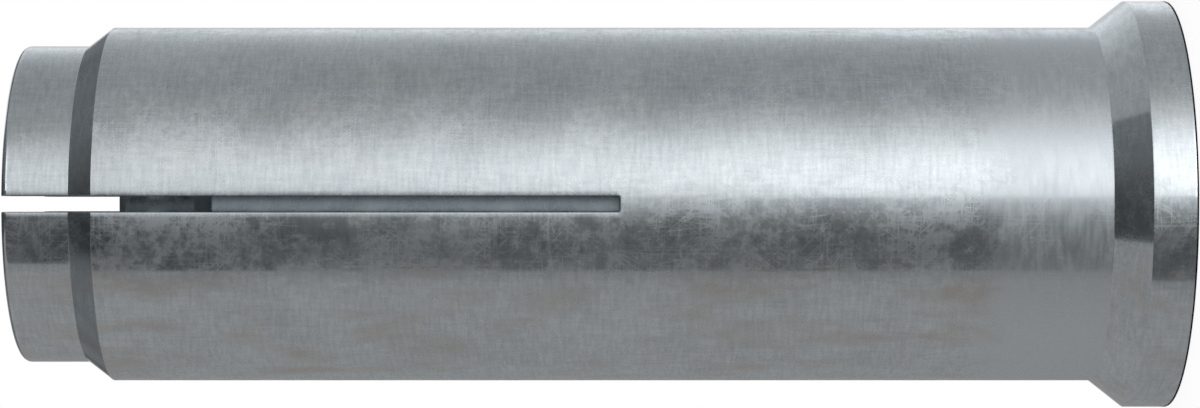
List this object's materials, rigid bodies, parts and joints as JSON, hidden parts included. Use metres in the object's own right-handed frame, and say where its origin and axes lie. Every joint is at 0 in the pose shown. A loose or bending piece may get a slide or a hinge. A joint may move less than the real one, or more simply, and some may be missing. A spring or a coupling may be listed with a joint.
{
  "type": "drop-in anchor",
  "caption": "Slotted tubular steel anchor with a collar at its tapped mouth, a stepped-down nose and a sliding expansion plug inside.",
  "frame": {"origin": "centre of the mouth's flat face, which the anchor stands on", "axes": "+Z along the sleeve's axis from the mouth to the nose, Y along one saw cut's pair of slots and X along the other"},
  "size_m": [0.0284, 0.0284, 0.08],
  "materials": {
    "zinc_plated_steel": "bright zinc plating over a turned surface, slightly clouded",
    "hardened_steel": "plain turned steel, hardened, a little darker than the sleeve"
  },
  "bodies": {
    "sleeve": {"sleeve": "zinc_plated_steel"},
    "plug": {"expansion_plug": "hardened_steel"}
  },
  "joints": [
    {"name": "plug_slide", "type": "slide", "parent": "sleeve", "child": "plug", "axis": [0, 0, 1], "range_m": [0, 0.0058]}
  ]
}
